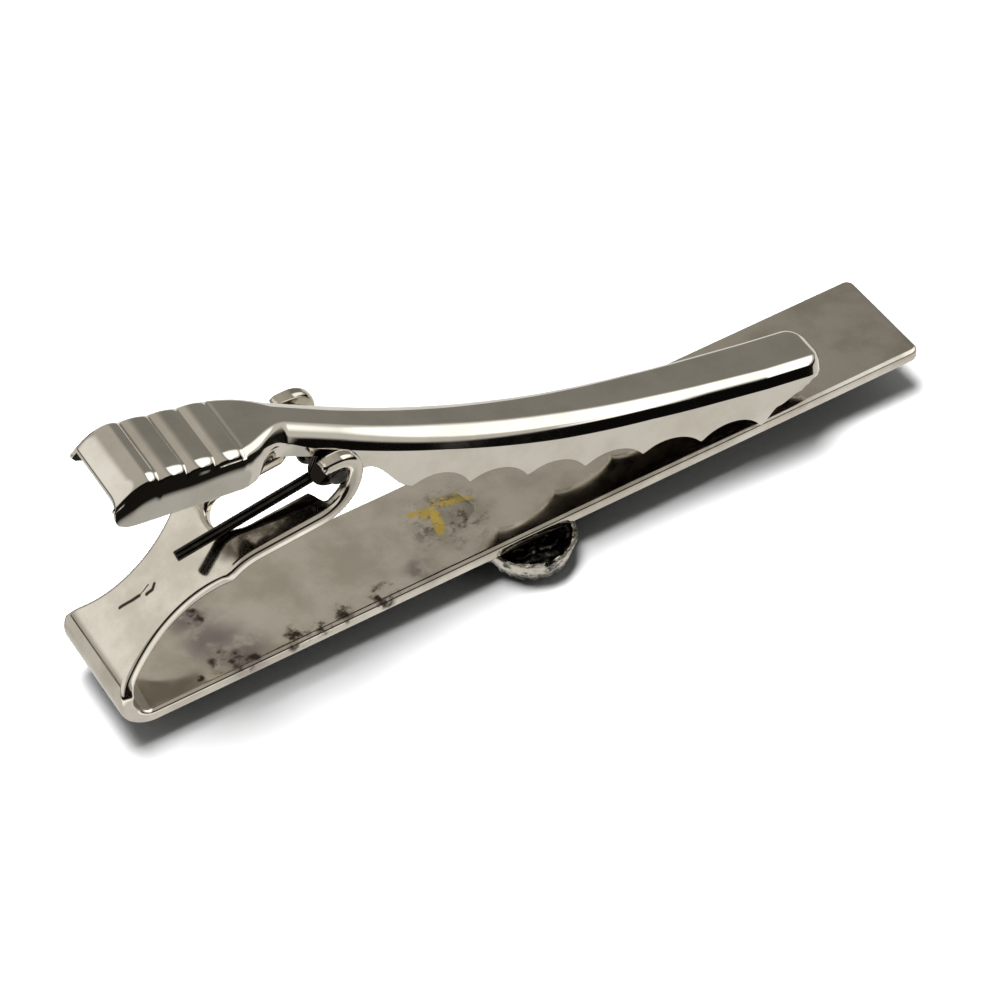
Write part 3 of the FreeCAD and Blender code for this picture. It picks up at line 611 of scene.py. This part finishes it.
def flange_depth(place):
    """How deep the flange hangs below the roof at a place along it."""
    if place < PIN_PLACE - EAR_RADIUS:
        return between(LOWER_EDGE, place)
    if place < THROAT[0][0]:
        return EAR_CENTRE + math.sqrt(max(0.0, EAR_RADIUS ** 2 - (place - PIN_PLACE) ** 2))
    if place < FIRST_TOOTH:
        return between(THROAT, place)
    if place < LAST_TOOTH:
        space = min(TOOTH_SPACES - 1, int((place - FIRST_TOOTH + 1e-6) / TOOTH_PITCH))
        start = FIRST_TOOTH + space * TOOTH_PITCH
        pitch = TOOTH_PITCH if space < TOOTH_SPACES - 1 else LAST_TOOTH - start
        off = place - start - pitch / 2
        rise = math.sqrt(SCALLOP_RADIUS ** 2 - off ** 2) - math.sqrt(SCALLOP_RADIUS ** 2 - pitch ** 2 / 4)
        return between(TOOTH_DEPTHS, place) - rise
    return between(NOSE_EDGE, place)


def pad_relief(place):
    """Height of the pad's pillows and finger grooves, and how far the tip has turned down."""
    groove = sum(math.exp(-((place - g) / GROOVE_WIDTH) ** 2) for g in GROOVES)
    pillow = 0.0
    for low, high in zip(GROOVES, GROOVES[1:]):
        if low <= place <= high:
            pillow = PILLOW_HEIGHT * (1 - (2 * (place - low) / (high - low) - 1) ** 2)
    drop = 0.0
    if place < GROOVES[0]:
        pillow = PILLOW_HEIGHT
        drop = CROWN_FALL * (place - CROWN) ** 2
        if place <= CROWN:
            drop = TIP_DROP * ((CROWN - place) / (CROWN - TIP)) ** 2
    return pillow - GROOVE_DEPTH * groove, drop


def pressed(place, across):
    """The pressed place of a point of the flat blank; across runs over the roof, a shoulder and a flange."""
    side, t = math.copysign(1, across), abs(across)
    # The cross-section here; the crease behind the pad runs straighter than the shoulder's foot.
    end = math.radians(between(SHOULDER_ENDS, place))
    radius = between(SHOULDERS, place)
    slant_run = between(SLANTS, place)
    half = between(ROOF_FLATS, place) + radius * math.sin(end) + slant_run * math.cos(end)
    radius += (between(ROOF_FLATS, place) - between(ROOF_FLATS, place, eased_under=0)) / 2 / math.sin(end)
    lift, shift = between(LIFTS, place), between(SHIFTS, place, eased_under=0)
    relief, drop = pad_relief(place)
    nose = max(0.0, (place - NOSE + NOSE_ROUND) / NOSE_ROUND)
    if nose > 0:
        half *= math.sqrt(max(0.0, 1 - nose ** 2))
        drop = NOSE_DROP * (1 - math.sqrt(max(0.0, 1 - nose ** 2)))
    slant_run = min(slant_run, half / 3)
    arch = half - slant_run * math.cos(end)
    radius = min(radius, arch / math.sin(end))
    shoulder_low = radius * (1 - math.cos(end)) + slant_run * math.sin(end)
    # The point's place in the cross-section.
    tilt = 0.0
    if t <= 1:
        y, z = t * (arch - radius * math.sin(end)), 0.0
    elif t <= 2:
        tilt = min(1.0, (t - 1) / BEND_ROWS) * end
        slid = max(0.0, (t - SLANT_FROM) / SLANT_ROWS) * slant_run
        y = arch - radius * math.sin(end) + radius * math.sin(tilt) + slid * math.cos(end)
        z = -radius * (1 - math.cos(tilt)) - slid * math.sin(end)
    else:
        tilt = math.pi / 2
        depth = flange_depth(place) + lift - drop
        if side > 0:
            depth *= between(FAR_SHARES, place)
        depth = max(depth, shoulder_low + SHORTEST_FLANGE)
        z = -shoulder_low - (t - 2) * (depth - shoulder_low)
        flare = FLANGE_FLARE * math.tan(math.pi / 2 - end)
        flare *= 1 - math.exp((shoulder_low + z) / FLANGE_FLARE)
        foot = between(FEET, place) + shift - half if nose <= 0 else 0.0
        straight = foot * (-z - shoulder_low) / (TOOTH_DEPTH + lift - shoulder_low)
        y = half + flare + (straight - flare) * held((place - ARM_START) / ARM_RUN)
    relief_row = NEAR_RELIEF_ROW if side < 0 else FAR_RELIEF_ROW
    keep = 1 - held((t - relief_row) / RELIEF_FADE_ROWS)
    y += relief * keep * math.sin(tilt)
    z += relief * keep * math.cos(tilt) - drop + lift
    # The cross-section set on the roof's line, and the line turned with the clamp.
    x0, z0, heading = roof_point(place)
    x = x0 - z * math.sin(heading)
    height = z0 + z * math.cos(heading)
    aside = side * y + shift
    turned = Vector((math.cos(CLAMP_YAW) * x - math.sin(CLAMP_YAW) * aside,
                     math.sin(CLAMP_YAW) * x + math.cos(CLAMP_YAW) * aside, height))
    return (CLAMP_ORIGIN + turned) * MM


straight_stations = int((NOSE - NOSE_ROUND - TIP - FIRST_STATION) / STATION_STEP) + 1
stations = [TIP + FIRST_STATION + STATION_STEP * k for k in range(straight_stations)]
for k in range(1, NOSE_STATIONS + 1):
    stations.append(NOSE - NOSE_ROUND + NOSE_ROUND * math.sin(math.radians(90 * k / NOSE_STATIONS)))
ROWS = 2 * len(ROW_STEPS) - 2
bpy.ops.object.select_all(action="DESELECT")
bpy.ops.mesh.primitive_grid_add(x_subdivisions=len(stations) - 1, y_subdivisions=ROWS, size=2)
lever = bpy.context.active_object
lever.name = "lever_channel"
thickness = lever.vertex_groups.new(name="thickness")
for point in lever.data.vertices:
    station = stations[round((point.co.x + 1) / 2 * (len(stations) - 1))]
    row = round(point.co.y * ROWS / 2)
    step = ROW_STEPS[abs(row)]
    point.co = pressed(station, math.copysign(step, row))
    share = min(1.0, TIP_THIN + TIP_THICKENING * (station - TIP), EDGE_THIN + EDGE_THICKENING * (3 - step))
    thickness.add([point.index], share, "REPLACE")
bpy.ops.object.mode_set(mode="EDIT")
bpy.ops.mesh.select_all(action="SELECT")
bpy.ops.mesh.remove_doubles(threshold=0.004 * MM)
bpy.ops.mesh.normals_make_consistent(inside=False)
bpy.ops.object.mode_set(mode="OBJECT")
finish, add, use = new_finish("bright_nickel")
place = add("ShaderNodeTexCoord", out="Object")
haze = ranged(add, cloud(add, place, scale=300, detail=5), 0.38, 0.68)
waves = cloud(add, place, scale=380, detail=3)
ripple = add("ShaderNodeBump", {"Strength": 0.03, "Distance": 0.05 * MM, "Height": waves})
# A dark patch on the lever round the ear: painted shade at the hinge.
hinge_shade = patch(add, strayed(add, place, 0.7), HINGE_PAINTED_SHADE[:3], HINGE_PAINTED_SHADE[3], core=1.2)
colour = mixed(add, haze, LEVER_NICKEL, LEVER_HAZED)
use(Metallic=1.0, Base_Color=mixed(add, hinge_shade, colour, LEVER_PAINTED_SHADE),
    Roughness=ranged(add, haze, 0, 1, to_low=0.05, to_high=0.10), Normal=ripple)
lever.data.materials.append(finish)
# The channel's inside is dull and near black: painted shade inside the channel.
finish, add, use = new_finish("painted_shade_inside")
place = add("ShaderNodeTexCoord", out="Object")
inside_shade_mottle = ranged(add, cloud(add, place, scale=500, detail=5), 0.38, 0.68)
use(Metallic=0.0, Base_Color=mixed(add, inside_shade_mottle, INSIDE_SHADE_BROWN, INSIDE_SHADE_DARK),
    Roughness=ranged(add, inside_shade_mottle, 0, 1, to_low=0.6, to_high=0.8), Specular_IOR_Level=0.15)
lever.data.materials.append(finish)
sheet = lever.modifiers.new("sheet", "SOLIDIFY")
sheet.thickness = LEVER_SHEET * MM
sheet.offset = -1
sheet.material_offset = 1
sheet.vertex_group = "thickness"
bpy.ops.object.modifier_apply(modifier="sheet")
lever.vertex_groups.clear()
bpy.ops.object.shade_smooth()
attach(lever, "lever")
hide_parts("clamp_lever")

# Ornament.
# A small hollow-backed casting fixed on the bar's front, of which only an edge shows; blackened inside, with
# curled relief in its hollow and a bright, uneven rim where the black has worn off.
LOBE_OFFSET = 3.1
LOBE_SIDES = ((0, -1), (1, 0), (0, 1), (-1, 0))
# Curls in each lobe: place along and out from the lobe's middle, radius of the ring and of its wire.
LOBE_CURLS = ((-1.0, 0.35, 0.62, 0.24), (0.85, 0.25, 0.85, 0.28))
CURL_HEIGHT = 1.05
CASTING_EDGE = 0.12
CASTING_GRAIN = 0.07
LUMP_SIZE = 0.55
LUMP_DEPTH = 0.30
# The bright rim, by the distance out from a lobe's middle and the height over the ornament's front.
RIM_OUT = (2.05, 2.6)
RIM_UP = (0.3, 1.1)
CASTING_BLACK = (0.020, 0.018, 0.016, 1)
CASTING_BARE = (0.66, 0.63, 0.56, 1)
CASTING_GLINT = (0.40, 0.38, 0.33, 1)
ornament = copy_of_node("ornament", "ornament_rosette")
for side_x, side_y in LOBE_SIDES:
    for along, out, ring, wire in LOBE_CURLS:
        spot_x = side_x * (LOBE_OFFSET + out) - side_y * along
        spot_y = side_y * (LOBE_OFFSET + out) + side_x * along
        bpy.ops.object.select_all(action="DESELECT")
        bpy.ops.mesh.primitive_torus_add(major_segments=28, minor_segments=10, major_radius=ring * MM,
                                         minor_radius=wire * MM,
                                         location=(spot_x * MM, spot_y * MM, CURL_HEIGHT * MM))
        ornament.select_set(True)
        bpy.context.view_layer.objects.active = ornament
        bpy.ops.object.join()
bpy.ops.object.select_all(action="DESELECT")
ornament.select_set(True)
round_edges(ornament, CASTING_EDGE, segments=2, sharpest=40)
fine = ornament.modifiers.new("even_mesh", "REMESH")
fine.mode = "VOXEL"
fine.voxel_size = CASTING_GRAIN * MM
bpy.ops.object.modifier_apply(modifier="even_mesh")
lumps = bpy.data.textures.new("casting_lumps", "CLOUDS")
lumps.noise_scale = LUMP_SIZE * MM
lumps.noise_depth = 3
uneven = ornament.modifiers.new("rough_casting", "DISPLACE")
uneven.texture = lumps
uneven.texture_coords = "LOCAL"
uneven.strength = LUMP_DEPTH * MM
uneven.mid_level = 1.0
bpy.ops.object.modifier_apply(modifier="rough_casting")
bpy.ops.object.shade_smooth()
finish, add, use = new_finish("blackened_casting")
place = add("ShaderNodeTexCoord", out="Object")
height = add("ShaderNodeSeparateXYZ", {0: place}, out="Z")
quarter = add("ShaderNodeVectorMath", {0: place}, operation="ABSOLUTE")
along_x = add("ShaderNodeSeparateXYZ", {0: quarter}, out="X")
along_y = add("ShaderNodeSeparateXYZ", {0: quarter}, out="Y")
longer = add("ShaderNodeMath", {0: along_x, 1: along_y}, operation="MAXIMUM")
shorter = add("ShaderNodeMath", {0: along_x, 1: along_y}, operation="MINIMUM")
onward = add("ShaderNodeMath", {0: longer, 1: LOBE_OFFSET * MM}, operation="SUBTRACT")
from_lobe = add("ShaderNodeCombineXYZ", {0: onward, 1: shorter})
out = add("ShaderNodeVectorMath", {0: from_lobe}, out="Value", operation="LENGTH")
pits = cloud(add, place, scale=900, detail=6, roughness=0.65)
rim = product(add, ranged(add, out, RIM_OUT[0] * MM, RIM_OUT[1] * MM),
              ranged(add, height, RIM_UP[0] * MM, RIM_UP[1] * MM))
worn = product(add, rim, ranged(add, pits, 0.36, 0.52))
glint = product(add, ranged(add, pits, 0.58, 0.70), 0.6)
colour = mixed(add, worn, CASTING_BLACK, CASTING_BARE)
colour = mixed(add, glint, colour, CASTING_GLINT)
use(Metallic=1.0, Base_Color=colour, Roughness=ranged(add, pits, 0.3, 0.7, to_low=0.16, to_high=0.38),
    Normal=add("ShaderNodeBump", {"Strength": 0.4, "Distance": 0.08 * MM, "Height": pits}))
ornament.data.materials.clear()
ornament.data.materials.append(finish)
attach(ornament, "bar")
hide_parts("ornament")

# Ornament rivet.
# The ornament's brass stud, spread thin over the hole in the bar's back; its plating is rubbed through in
# strokes. Its top falls off a little towards a ragged edge.
RIVET_X = -3.7
RIVET_Y = 0.4
RIVET_RADIUS = 1.5
RIVET_TOP = 3.07
RIVET_HEIGHT = 0.45
RIVET_RINGS = (0.45, 0.35, 0.35)
RIVET_FALL = 0.05
RIVET_RAGGED = 0.06
RIVET_EDGE = 0.02
bpy.ops.object.select_all(action="DESELECT")
rivet_middle = (RIVET_X * MM, RIVET_Y * MM, (RIVET_TOP - RIVET_HEIGHT / 2) * MM)
bpy.ops.mesh.primitive_cylinder_add(vertices=48, radius=RIVET_RADIUS * MM, depth=RIVET_HEIGHT * MM,
                                    location=rivet_middle)
rivet = bpy.context.active_object
rivet.name = "rivet_head"
bpy.ops.object.transform_apply(location=True, rotation=True, scale=True)
bpy.ops.object.mode_set(mode="EDIT")
bpy.ops.mesh.select_all(action="DESELECT")
bpy.ops.mesh.select_mode(type="FACE")
bpy.ops.object.mode_set(mode="OBJECT")
for face in rivet.data.polygons:
    face.select = face.normal.z > 0.9
bpy.ops.object.mode_set(mode="EDIT")
for ring in RIVET_RINGS:
    bpy.ops.mesh.inset(thickness=ring * MM, depth=0.0)
bpy.ops.object.mode_set(mode="OBJECT")
for point in rivet.data.vertices:
    from_middle = point.co.x / MM - RIVET_X, point.co.y / MM - RIVET_Y
    out = math.hypot(*from_middle)
    turn = math.atan2(from_middle[1], from_middle[0])
    if point.co.z > (RIVET_TOP - 0.1) * MM:
        point.co.z = (RIVET_TOP - RIVET_FALL * (out / RIVET_RADIUS) ** 6) * MM
    ragged = 1 - RIVET_RAGGED * (1 + math.sin(5 * turn + 0.6)) * (out / RIVET_RADIUS) ** 2
    point.co.x = (RIVET_X + out * ragged * math.cos(turn)) * MM
    point.co.y = (RIVET_Y + out * ragged * math.sin(turn)) * MM
round_edges(rivet, RIVET_EDGE, segments=2, sharpest=40)
bpy.ops.object.select_all(action="DESELECT")
finish, add, use = new_finish("rubbed_brass")
place = add("ShaderNodeTexCoord", out="Object")
scuff = ranged(add, cloud(add, place, scale=800, detail=6), 0.4, 0.6, to_low=0.1, to_high=0.75)
scored = cloud(add, place, scale=1300, detail=6, roughness=0.7)
colour = mixed(add, scuff, NICKEL_CLOUDED, RUBBED_GREY)
colour = mixed(add, product(add, ranged(add, scored, 0.50, 0.62), 0.7), colour, SPOT_DARK)
colour = mixed(add, brass_smear(add, place), colour, BRASS)
rough = add("ShaderNodeBump", {"Strength": 0.35, "Distance": 0.06 * MM, "Height": scored})
use(Metallic=1.0, Base_Color=colour, Normal=rough,
    Roughness=ranged(add, scuff, 0, 1, to_low=0.18, to_high=0.32))
rivet.data.materials.append(finish)
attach(rivet, "bar")
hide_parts("ornament_rivet")

# Floor.
# A white sheet, sized in metres, that touches the ornament's front and leans with the clip. What the plating
# mirrors of it isn't what is seen: patches from near black to brighter than white are set there, to give the
# plating its bands. Far from the clip the sheet glows, so that it stays white.
FLOOR_SIZE = 3
FLOOR_PLACE = Vector((-5.7, 0, -0.03))
FLOOR_TILT = math.atan(0.012)
PAPER_WHITE = (0.93, 0.93, 0.93, 1)
PAPER_SHADED = (0.91, 0.91, 0.91, 1)
# The MIRRORED colours are painted reflections: they are seen only in the plating, not on the sheet.
MIRRORED_CLOSE = (0.80, 0.785, 0.75, 1)
MIRRORED_AHEAD = (0.70, 0.68, 0.635, 1)
MIRRORED_LEFT = (0.66, 0.645, 0.60, 1)
MIRRORED_BY_TONGUE = (1.25, 1.24, 1.20, 1)
MIRRORED_BY_PAD = (0.50, 0.487, 0.455, 1)
MIRRORED_BEHIND = (0.05, 0.045, 0.038, 1)
MIRRORED_FAR = (0.010, 0.009, 0.007, 1)
WHITE = (1, 1, 1, 1)
BLACK = (0, 0, 0, 1)
bpy.ops.object.select_all(action="DESELECT")
bpy.ops.mesh.primitive_plane_add(size=FLOOR_SIZE, location=FLOOR_PLACE * MM, rotation=(0, FLOOR_TILT, 0))
floor = bpy.context.active_object
floor.name = "floor_sheet"
bpy.ops.object.transform_apply(location=True, rotation=True, scale=True)
finish, add, use = new_finish("white_sheet")
place = add("ShaderNodeTexCoord", out="Object")
sideways = add("ShaderNodeSeparateXYZ", {0: place}, out="X")
ahead = add("ShaderNodeSeparateXYZ", {0: place}, out="Y")


def zone(add, along, start, end):
    """A mask over the floor that comes in from one place along an axis to another."""
    return ranged(add, along, start * MM, end * MM)


left = zone(add, sideways, -27, -33)
by_tongue = product(add, zone(add, ahead, -7.5, -9), zone(add, ahead, -15.5, -14))
by_tongue = product(add, by_tongue, zone(add, sideways, -8, -12))
by_pad = product(add, zone(add, sideways, -4, -9), zone(add, ahead, -15, -17))
behind = product(add, zone(add, sideways, -14, -20), zone(add, sideways, -36, -31))
behind = largest(add, [behind, zone(add, sideways, -75, -90)])
behind = product(add, behind, zone(add, ahead, 6, 12))
below = mixed(add, zone(add, ahead, -8, -6), MIRRORED_AHEAD, MIRRORED_CLOSE)
below = mixed(add, left, below, MIRRORED_LEFT)
below = mixed(add, by_tongue, below, MIRRORED_BY_TONGUE)
below = mixed(add, by_pad, below, MIRRORED_BY_PAD)
below = mixed(add, behind, below, MIRRORED_BEHIND)
below = mixed(add, zone(add, ahead, -24, -40), below, MIRRORED_FAR)
in_metal = add("ShaderNodeLightPath", out="Is Glossy Ray")
bounces = add("ShaderNodeLightPath", out="Diffuse Depth")
mirrored = product(add, in_metal, add("ShaderNodeMath", {0: bounces, 1: 0.5}, operation="LESS_THAN"))
distance = add("ShaderNodeVectorMath", {0: place}, out="Value", operation="LENGTH")
distant = ranged(add, distance, 200 * MM, 600 * MM, to_low=0.0, to_high=0.9)
paper = mixed(add, cloud(add, place, scale=40), PAPER_WHITE, PAPER_SHADED)
use(Base_Color=mixed(add, in_metal, paper, BLACK), Roughness=0.9, Specular_IOR_Level=0.0,
    Emission_Color=mixed(add, mirrored, WHITE, below), Emission_Strength=largest(add, [mirrored, distant]))
floor.data.materials.append(finish)

# Studio light.
# One soft box nearly overhead, sized in metres, whitens the sheet and throws a short soft shadow. The plating
# doesn't mirror it, but a room that is seen only there: a pale left wall, a warm grey back, a window at the
# right and a dark near side.
SOFTBOX_PLACE = (-0.05, 0.08, 0.43)
SOFTBOX_WIDTH = 0.24
SOFTBOX_HEIGHT = 0.20
SOFTBOX_WATTS = 3.6
WALL_GREY = (0.50, 0.472, 0.42, 1)
WALL_RIGHT = (0.25, 0.239, 0.213, 1)
WALL_PALE = (0.95, 0.93, 0.88, 1)
WALL_DARK = (0.004, 0.0035, 0.003, 1)
WALL_SIDE = (0.62, 0.60, 0.55, 1)
WINDOW_WHITE = (1.6, 1.6, 1.55, 1)
FILL_FRONT = (0.03, 0.03, 0.03, 1)
FILL_BACK = (0.50, 0.50, 0.50, 1)
bpy.ops.object.light_add(type="AREA", location=SOFTBOX_PLACE)
softbox = bpy.context.active_object
softbox.name = "back_softbox"
softbox.rotation_euler = (-softbox.location).to_track_quat("-Z", "Y").to_euler()
softbox.data.shape = "RECTANGLE"
softbox.data.size = SOFTBOX_WIDTH
softbox.data.size_y = SOFTBOX_HEIGHT
softbox.data.energy = SOFTBOX_WATTS
softbox.visible_glossy = False
world = bpy.data.worlds.new("studio_room")
bpy.context.scene.world = world
world.use_nodes = True
world.node_tree.nodes.clear()
add = node_maker(world.node_tree)
way = add("ShaderNodeTexCoord", out="Generated")
way_x = add("ShaderNodeSeparateXYZ", {0: way}, out="X")
way_y = add("ShaderNodeSeparateXYZ", {0: way}, out="Y")
way_z = add("ShaderNodeSeparateXYZ", {0: way}, out="Z")
# The walls as the plating mirrors them, by the direction in which they lie.
walls = mixed(add, ranged(add, way_x, 0.28, 0.50), WALL_GREY, WALL_RIGHT)
pale_left = product(add, ranged(add, way_x, -0.30, -0.50), ranged(add, way_z, 0.05, 0.35))
walls = mixed(add, pale_left, walls, WALL_PALE)
dark_front = product(add, ranged(add, way_y, 0.02, -0.30), ranged(add, way_z, 0.46, 0.28))
walls = mixed(add, dark_front, walls, WALL_DARK)
pale_side = product(add, ranged(add, way_x, 0.52, 0.66), ranged(add, way_y, 0.42, 0.25))
pale_side = product(add, pale_side, ranged(add, way_z, 0.10, 0.20))
walls = mixed(add, pale_side, walls, WALL_SIDE)
low_right = product(add, ranged(add, way_x, 0.54, 0.64), ranged(add, way_z, 0.38, 0.30))
above_sill = add("ShaderNodeMath", {0: 1.0, 1: low_right}, operation="SUBTRACT")
window = product(add, ranged(add, way_x, 0.41, 0.48), ranged(add, way_y, 0.34, 0.10))
window = product(add, product(add, window, ranged(add, way_z, 0.16, 0.22)), above_sill)
walls = mixed(add, window, walls, WINDOW_WHITE)
# The room's soft fill light on the sheet, and the white that is seen beyond the sheet.
bounces = add("ShaderNodeLightPath", out="Diffuse Depth")
scattered = add("ShaderNodeMath", {0: bounces, 1: 0.5}, operation="GREATER_THAN")
fill = mixed(add, ranged(add, way_y, 0.0, 0.5), FILL_FRONT, FILL_BACK)
walls = mixed(add, scattered, walls, fill)
walls = mixed(add, add("ShaderNodeLightPath", out="Is Camera Ray"), walls, WHITE)
glow = add("ShaderNodeBackground", {"Color": walls, "Strength": 1.0})
outlet = world.node_tree.nodes.new("ShaderNodeOutputWorld")
world.node_tree.links.new(glow, outlet.inputs["Surface"])

# Camera.
# A long lens above and to the left of the clip's near side, for a close look at a small thing on a table.
# Its place is in metres and its turn in degrees.
LENS_PLACE = (-0.10647825, -0.16662444, 0.21020496)
LENS_TURN = (43.546517, 0.193240, -32.724273)
bpy.ops.object.camera_add(location=LENS_PLACE, rotation=[math.radians(angle) for angle in LENS_TURN])
camera = bpy.context.active_object
camera.name = "long_lens"
camera.data.sensor_width = 36
camera.data.lens = 162
camera.data.clip_start = 0.005
bpy.context.scene.camera = camera
bpy.context.scene.view_settings.view_transform = "Standard"
